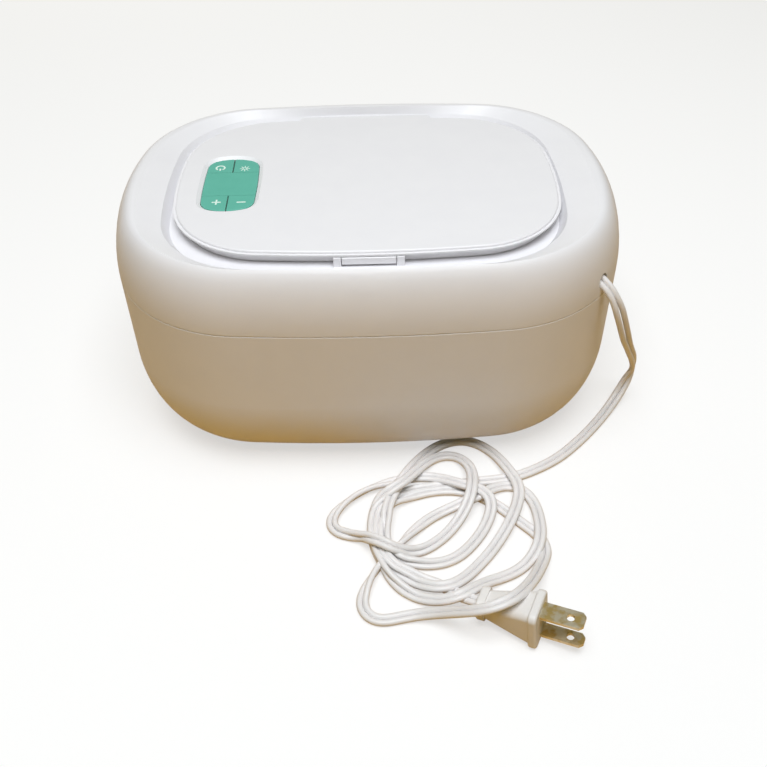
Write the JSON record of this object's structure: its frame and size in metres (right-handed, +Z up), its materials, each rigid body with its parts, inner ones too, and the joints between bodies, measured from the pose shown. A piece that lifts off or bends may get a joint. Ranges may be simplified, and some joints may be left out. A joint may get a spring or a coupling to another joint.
{
  "type": "baby wipe warmer",
  "caption": "Oval tabletop wipe warmer with a hinged, heated lid, a push latch, a soft control pad and a flat mains cord lying in loose loops.",
  "frame": {"origin": "centre of the case's footprint, at the table", "axes": "+X along the case's length, to the right as seen from the latch; +Y to the back, where the lid hinges; +Z up"},
  "size_m": [0.2556, 0.2718, 0.115],
  "materials": {
    "case_white": "satin",
    "tray_white": "satin",
    "foot_rubber": "matte",
    "inner_plastic": "matte",
    "cord_white": "satin",
    "blade_metal": "satin",
    "steel": "satin",
    "plate_metal": "satin",
    "film_amber": "satin",
    "foam": "matte",
    "board_green": "satin",
    "switch_black": "satin",
    "gasket_rubber": "matte",
    "pad_teal": "matte"
  },
  "bodies": {
    "base": {"base_tub": "case_white", "wipe_tray": "tray_white", "tray_floor": "tray_white", "foot_front_left": "foot_rubber", "foot_front_right": "foot_rubber", "foot_rear_left": "foot_rubber", "foot_rear_right": "foot_rubber", "top_cover": "case_white", "hinge_pin": "steel", "cord_clamp": "inner_plastic", "clamp_screw_front": "steel", "clamp_screw_rear": "steel", "terminal_block": "inner_plastic", "cord_lead": "cord_white", "cord_loops": "cord_white", "plug_body": "cord_white", "blade_wide": "blade_metal", "blade_narrow": "blade_metal"},
    "lid": {"lid_shell": "case_white", "lid_inner": "tray_white", "lid_gasket": "gasket_rubber", "heat_plate": "plate_metal", "heater_film": "film_amber", "insulation_pad": "foam", "control_board": "board_green", "switch_power": "switch_black", "switch_light": "switch_black", "switch_minus": "switch_black", "switch_plus": "switch_black", "pad_centre": "pad_teal", "lid_screw_1": "steel", "lid_screw_2": "steel", "lid_screw_3": "steel", "lid_screw_4": "steel"},
    "key_power": {"key_power": "pad_teal"},
    "key_light": {"key_light": "pad_teal"},
    "key_minus": {"key_minus": "pad_teal"},
    "key_plus": {"key_plus": "pad_teal"},
    "latch": {"latch_button": "case_white"}
  },
  "joints": [
    {"name": "lid_hinge", "type": "hinge", "parent": "base", "child": "lid", "pos_m": [0, 0.063, 0.1104], "axis": [-1, 0, 0], "range_deg": [0, 80]},
    {"name": "power_press", "type": "slide", "parent": "lid", "child": "key_power", "axis": [0, 0, -1], "range_m": [0, 0.0005], "stiffness_N_per_m": 600, "springref_m": -0.0006},
    {"name": "light_press", "type": "slide", "parent": "lid", "child": "key_light", "axis": [0, 0, -1], "range_m": [0, 0.0005], "stiffness_N_per_m": 600, "springref_m": -0.0006},
    {"name": "minus_press", "type": "slide", "parent": "lid", "child": "key_minus", "axis": [0, 0, -1], "range_m": [0, 0.0005], "stiffness_N_per_m": 600, "springref_m": -0.0006},
    {"name": "plus_press", "type": "slide", "parent": "lid", "child": "key_plus", "axis": [0, 0, -1], "range_m": [0, 0.0005], "stiffness_N_per_m": 600, "springref_m": -0.0006},
    {"name": "latch_push", "type": "slide", "parent": "lid", "child": "latch", "axis": [0, 1, 0], "range_m": [0, 0.0012], "stiffness_N_per_m": 500, "springref_m": -0.001}
  ]
}
